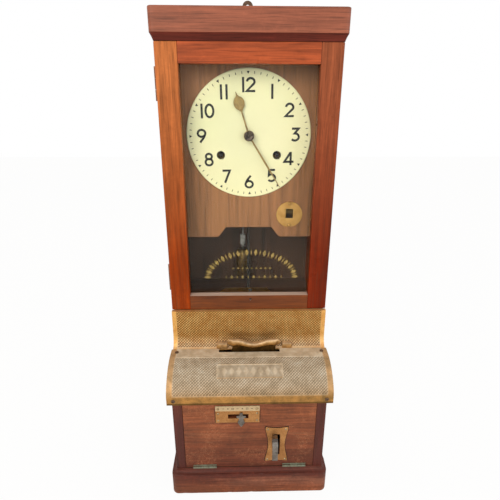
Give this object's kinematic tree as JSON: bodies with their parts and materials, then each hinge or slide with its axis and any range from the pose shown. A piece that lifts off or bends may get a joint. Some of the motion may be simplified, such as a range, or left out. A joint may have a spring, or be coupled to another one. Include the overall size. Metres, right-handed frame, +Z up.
{
  "type": "time clock",
  "caption": "Wall-hung card time recorder: glazed mahogany clock case over a brass-covered card throat and a lower box with a drop flap.",
  "frame": {"origin": "centre of the foot of the case, on the plane it stands on, half way from the plinth's front to the wall", "axes": "+Z up, +Y into the wall, the dial faces -Y"},
  "size_m": [0.364, 0.3033, 1.071],
  "materials": {
    "mahogany": "old french polish",
    "door_mahogany": "old french polish",
    "dark_mahogany": "worn polish",
    "pine": "bare inside",
    "board_walnut": "faded veneer",
    "old_brass": "tarnished",
    "dusty_brass": "dusty and worn",
    "bronze": "browned",
    "enamel": "cream enamel",
    "glass": "clear",
    "nickel": "worn nickel",
    "steel": "dull steel",
    "iron": "black japan",
    "green_brass": "verdigris",
    "ribbon": "inked"
  },
  "bodies": {
    "case": {"left_side": "mahogany", "right_side": "mahogany", "back_board": "pine", "shelf_board": "pine", "base_board": "pine", "plinth": "dark_mahogany", "case_cap": "mahogany", "hood_boards": "mahogany", "hood_lid": "mahogany", "hood_cove": "dark_mahogany", "hanger_plate": "bronze", "case_screws": "bronze", "door_hinge_pins": "old_brass", "dial_board": "board_walnut", "dial": "enamel", "date_plate": "old_brass", "movement_plates": "old_brass", "movement_posts": "old_brass", "upper_cover": "old_brass", "apron_cover": "dusty_brass", "cover_screws": "steel", "head_rail": "mahogany", "flap_hinge_pins": "green_brass", "recorder_frame": "iron", "receiver_rails": "steel"},
    "door": {"door_left_stile": "door_mahogany", "door_right_stile": "door_mahogany", "door_top_rail": "door_mahogany", "door_bottom_rail": "door_mahogany", "door_glass": "glass", "glass_beads": "dark_mahogany", "door_hinges": "old_brass"},
    "lock": {"door_lock": "old_brass"},
    "flap": {"flap": "mahogany", "flap_hinge_leaves": "green_brass", "column_plate": "old_brass", "scale_strip": "nickel", "lever_plate": "old_brass", "plate_screws": "dusty_brass"},
    "pointer": {"column_pointer": "nickel"},
    "lever": {"print_lever": "steel"},
    "receiver": {"card_receiver": "iron", "mouth_lip": "old_brass"},
    "hammer": {"print_hammer": "steel"},
    "minute": {"minute_hand": "bronze"},
    "hour": {"hour_hand": "bronze"},
    "winder_left": {"winding_arbor_left": "steel"},
    "winder_right": {"winding_arbor_right": "steel"},
    "barrel_left": {"spring_barrel_left": "old_brass"},
    "barrel_right": {"spring_barrel_right": "old_brass"},
    "escape": {"escape_wheel": "old_brass"},
    "anchor": {"anchor": "steel"},
    "pendulum": {"pendulum_rod": "steel", "pendulum_bob": "bronze"},
    "shaft": {"down_shaft": "steel"},
    "minute_type": {"minute_type_wheel": "steel"},
    "hour_type": {"hour_type_wheel": "steel"},
    "drum": {"date_drum": "nickel"},
    "spool_left": {"ribbon_spool_left": "ribbon"},
    "spool_right": {"ribbon_spool_right": "ribbon"}
  },
  "joints": [
    {"name": "door_swing", "type": "hinge", "parent": "case", "child": "door", "pos_m": [-0.1731, -0.021, 0.7], "axis": [0, 0, -1], "range_deg": [0, 110]},
    {"name": "lock_turn", "type": "hinge", "parent": "door", "child": "lock", "pos_m": [0.003, -0.03, 0.465], "axis": [0, 1, 0], "range_deg": [0, 90]},
    {"name": "flap_drop", "type": "hinge", "parent": "case", "child": "flap", "pos_m": [0, -0.1276, 0.071], "axis": [1, 0, 0], "range_deg": [0, 80]},
    {"name": "pointer_slide", "type": "slide", "parent": "flap", "child": "pointer", "axis": [1, 0, 0], "range_m": [-0.018, 0.005]},
    {"name": "receiver_slide", "type": "slide", "parent": "case", "child": "receiver", "axis": [1, 0, 0], "range_m": [-0.018, 0.005]},
    {"name": "lever_press", "type": "slide", "parent": "flap", "child": "lever", "axis": [0, 0, -1], "range_m": [0, 0.034], "stiffness_N_per_m": 150, "springref_m": -0.02},
    {"name": "hammer_swing", "type": "hinge", "parent": "case", "child": "hammer", "pos_m": [0, -0.097, 0.19], "axis": [-1, 0, 0], "range_deg": [0, 9]},
    {"name": "minute_spin", "type": "hinge", "parent": "case", "child": "minute", "pos_m": [0, 0, 0.809], "axis": [0, 1, 0], "continuous": true},
    {"name": "hour_spin", "type": "hinge", "parent": "case", "child": "hour", "pos_m": [0, 0, 0.809], "axis": [0, 1, 0], "continuous": true},
    {"name": "wind_left", "type": "hinge", "parent": "case", "child": "winder_left", "pos_m": [-0.057, 0, 0.7704], "axis": [0, 1, 0], "continuous": true},
    {"name": "wind_right", "type": "hinge", "parent": "case", "child": "winder_right", "pos_m": [0.057, 0, 0.7704], "axis": [0, 1, 0], "continuous": true},
    {"name": "barrel_turn_left", "type": "hinge", "parent": "case", "child": "barrel_left", "pos_m": [-0.057, 0, 0.7704], "axis": [0, 1, 0], "continuous": true},
    {"name": "barrel_turn_right", "type": "hinge", "parent": "case", "child": "barrel_right", "pos_m": [0.057, 0, 0.7704], "axis": [0, 1, 0], "continuous": true},
    {"name": "escape_spin", "type": "hinge", "parent": "case", "child": "escape", "pos_m": [-0.012, 0, 0.836], "axis": [0, 1, 0], "continuous": true},
    {"name": "pendulum_swing", "type": "hinge", "parent": "case", "child": "pendulum", "pos_m": [-0.012, 0.1045, 0.87], "axis": [0, 1, 0], "range_deg": [-4, 4]},
    {"name": "anchor_rock", "type": "hinge", "parent": "case", "child": "anchor", "pos_m": [-0.012, 0.025, 0.87], "axis": [0, 1, 0], "range_deg": [-4, 4]},
    {"name": "shaft_spin", "type": "hinge", "parent": "case", "child": "shaft", "pos_m": [0, 0.04, 0.5], "axis": [0, 0, 1], "continuous": true},
    {"name": "minute_type_spin", "type": "hinge", "parent": "case", "child": "minute_type", "pos_m": [0.03, -0.04, 0.24], "axis": [1, 0, 0], "continuous": true},
    {"name": "hour_type_spin", "type": "hinge", "parent": "case", "child": "hour_type", "pos_m": [0.02, -0.04, 0.24], "axis": [1, 0, 0], "continuous": true},
    {"name": "date_spin", "type": "hinge", "parent": "case", "child": "drum", "pos_m": [0.0875, 0.032, 0.6465], "axis": [1, 0, 0], "continuous": true},
    {"name": "spool_left_spin", "type": "hinge", "parent": "case", "child": "spool_left", "pos_m": [-0.098, -0.091, 0.29], "axis": [1, 0, 0], "continuous": true},
    {"name": "spool_right_spin", "type": "hinge", "parent": "case", "child": "spool_right", "pos_m": [0.098, -0.091, 0.29], "axis": [1, 0, 0], "continuous": true}
  ],
  "couplings": [
    {"joint": "pointer_slide", "follows": "receiver_slide", "ratio": 1},
    {"joint": "hammer_swing", "follows": "lever_press", "rad_per_m": 4.6},
    {"joint": "hour_spin", "follows": "minute_spin", "ratio": 0.083333},
    {"joint": "barrel_turn_left", "follows": "minute_spin", "ratio": -0.125},
    {"joint": "barrel_turn_right", "follows": "minute_spin", "ratio": -0.125},
    {"joint": "anchor_rock", "follows": "pendulum_swing", "ratio": 1},
    {"joint": "shaft_spin", "follows": "minute_spin", "ratio": 1},
    {"joint": "minute_type_spin", "follows": "minute_spin", "ratio": 1},
    {"joint": "hour_type_spin", "follows": "minute_spin", "ratio": 0.083333},
    {"joint": "date_spin", "follows": "minute_spin", "ratio": 0.0059524},
    {"joint": "spool_right_spin", "follows": "spool_left_spin", "ratio": 1}
  ]
}
